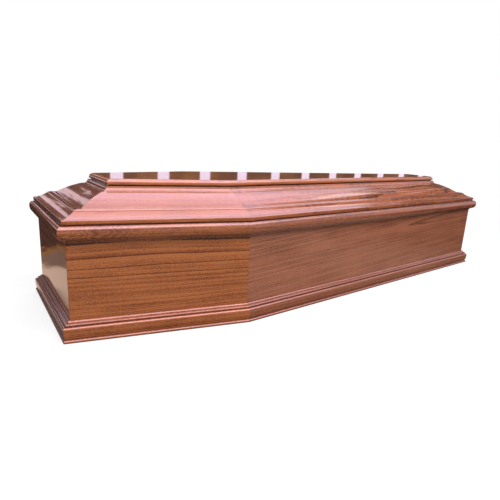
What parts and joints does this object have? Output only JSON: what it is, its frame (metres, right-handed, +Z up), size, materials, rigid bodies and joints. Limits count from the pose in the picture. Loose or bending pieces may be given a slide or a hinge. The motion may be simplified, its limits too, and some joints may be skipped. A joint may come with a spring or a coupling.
{
  "type": "wooden coffin",
  "caption": "Six-sided lacquered wooden coffin, widest at the shoulders, with moulded base and rim and a stepped, sloping lid that lifts off; hollow, it holds a body lying flat.",
  "frame": {"origin": "centre of the bounding box, on the floor under the coffin", "axes": "+X from the head to the feet, +Y to the left of a body lying face up inside, +Z up"},
  "size_m": [2.0066, 0.711, 0.4355],
  "materials": {
    "bottom": "satin lacquer over red-brown timber",
    "walls": "high gloss lacquer over red-brown timber, grain along the board",
    "base": "high gloss lacquer over red-brown timber, grain along the moulding",
    "rim": "high gloss lacquer over red-brown timber, grain along the moulding",
    "lid": "high gloss lacquer over red-brown timber, grain along the board"
  },
  "bodies": {
    "root": {"bottom_board": "bottom", "wall_head": "walls", "wall_left_head_side": "walls", "wall_left_foot_side": "walls", "wall_foot": "walls", "wall_right_foot_side": "walls", "wall_right_head_side": "walls", "base_moulding_head": "base", "base_moulding_left_head_side": "base", "base_moulding_left_foot_side": "base", "base_moulding_foot": "base", "base_moulding_right_foot_side": "base", "base_moulding_right_head_side": "base", "rim_moulding_head": "rim", "rim_moulding_left_head_side": "rim", "rim_moulding_left_foot_side": "rim", "rim_moulding_foot": "rim", "rim_moulding_right_foot_side": "rim", "rim_moulding_right_head_side": "rim", "lid_frame_head": "lid", "lid_frame_left_head_side": "lid", "lid_frame_left_foot_side": "lid", "lid_frame_foot": "lid", "lid_frame_right_foot_side": "lid", "lid_frame_right_head_side": "lid", "lid_slope_head": "lid", "lid_slope_left_head_side": "lid", "lid_slope_left_foot_side": "lid", "lid_slope_foot": "lid", "lid_slope_right_foot_side": "lid", "lid_slope_right_head_side": "lid", "lid_top_panel": "lid"}
  },
  "joints": []
}
